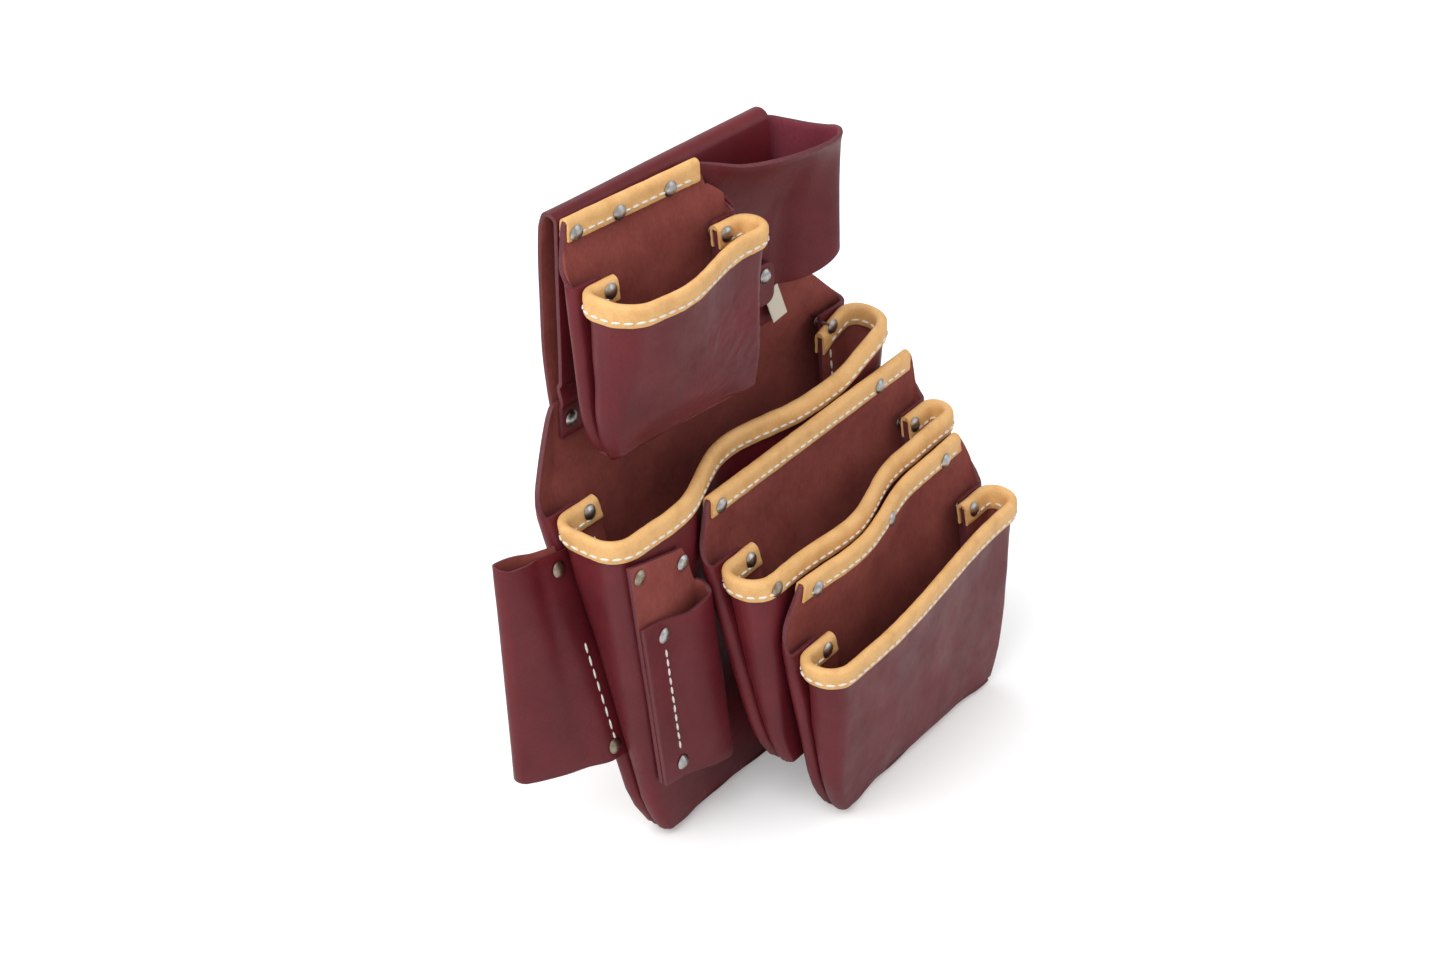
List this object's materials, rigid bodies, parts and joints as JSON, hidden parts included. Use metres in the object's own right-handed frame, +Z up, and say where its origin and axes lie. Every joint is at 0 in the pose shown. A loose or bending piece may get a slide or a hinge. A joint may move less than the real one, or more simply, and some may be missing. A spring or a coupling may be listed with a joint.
{
  "type": "electrician tool pouch",
  "caption": "Riveted leather tool pouch: a belt tunnel over stacked gusseted pockets, with a hanging small pocket, a flat sleeve, a folded sheath and a side loop.",
  "frame": {"origin": "under the middle of the bounding box, on the floor that the pouch stands on", "axes": "+Z up, -Y the front that faces away from the wearer, +X towards the open side loop"},
  "size_m": [0.3166, 0.1484, 0.3368],
  "materials": {
    "burgundy_leather": "smooth waxed outside, matt brown flesh side",
    "tan_binding": "soft tan edge binding",
    "nickel_rivet": "nickel-plated domed rivets",
    "blank_tag": "plain woven tag"
  },
  "bodies": {
    "pouch": {"belt_tunnel": "burgundy_leather", "blank_tag": "blank_tag", "front_pouch_back": "burgundy_leather", "front_pouch_back_binding": "tan_binding", "front_pouch_front": "burgundy_leather", "front_pouch_mouth_binding": "tan_binding", "loop_anchor_tab": "burgundy_leather", "main_pouch_back": "burgundy_leather", "main_pouch_front": "burgundy_leather", "main_pouch_mouth_binding": "tan_binding", "middle_pouch_back": "burgundy_leather", "middle_pouch_back_binding": "tan_binding", "middle_pouch_front": "burgundy_leather", "middle_pouch_mouth_binding": "tan_binding", "rivet_front_back_left": "nickel_rivet", "rivet_front_back_middle": "nickel_rivet", "rivet_front_back_right": "nickel_rivet", "rivet_front_pouch_mouth_left": "nickel_rivet", "rivet_front_pouch_mouth_right": "nickel_rivet", "rivet_loop_anchor": "nickel_rivet", "rivet_loop_rear": "nickel_rivet", "rivet_main_pouch_mouth_left": "nickel_rivet", "rivet_main_pouch_mouth_right": "nickel_rivet", "rivet_middle_back_left": "nickel_rivet", "rivet_middle_back_right": "nickel_rivet", "rivet_middle_pouch_mouth_left": "nickel_rivet", "rivet_middle_pouch_mouth_right": "nickel_rivet", "rivet_sheath_plate_left": "nickel_rivet", "rivet_sheath_plate_right": "nickel_rivet", "rivet_sheath_seam_bottom": "nickel_rivet", "rivet_sheath_seam_top": "nickel_rivet", "rivet_sleeve_bottom": "nickel_rivet", "rivet_sleeve_top": "nickel_rivet", "rivet_top_back_left": "nickel_rivet", "rivet_top_back_middle": "nickel_rivet", "rivet_top_back_right": "nickel_rivet", "rivet_tunnel_left": "nickel_rivet", "rivet_tunnel_right": "nickel_rivet", "sheath": "burgundy_leather", "side_loop": "burgundy_leather", "tool_sleeve": "burgundy_leather", "top_pouch_back_binding": "tan_binding", "top_pouch_hanger": "burgundy_leather"},
    "top_pouch": {"top_pouch_back": "burgundy_leather", "top_pouch_front": "burgundy_leather", "top_pouch_mouth_binding": "tan_binding", "rivet_top_pouch_mouth_left": "nickel_rivet", "rivet_top_pouch_mouth_right": "nickel_rivet"}
  },
  "joints": [
    {"name": "top_pouch_swing", "type": "hinge", "parent": "pouch", "child": "top_pouch", "pos_m": [-0.0455, 0.0542, 0.32406], "axis": [0.9991, -0.043, 0], "range_deg": [-35, 3]}
  ]
}
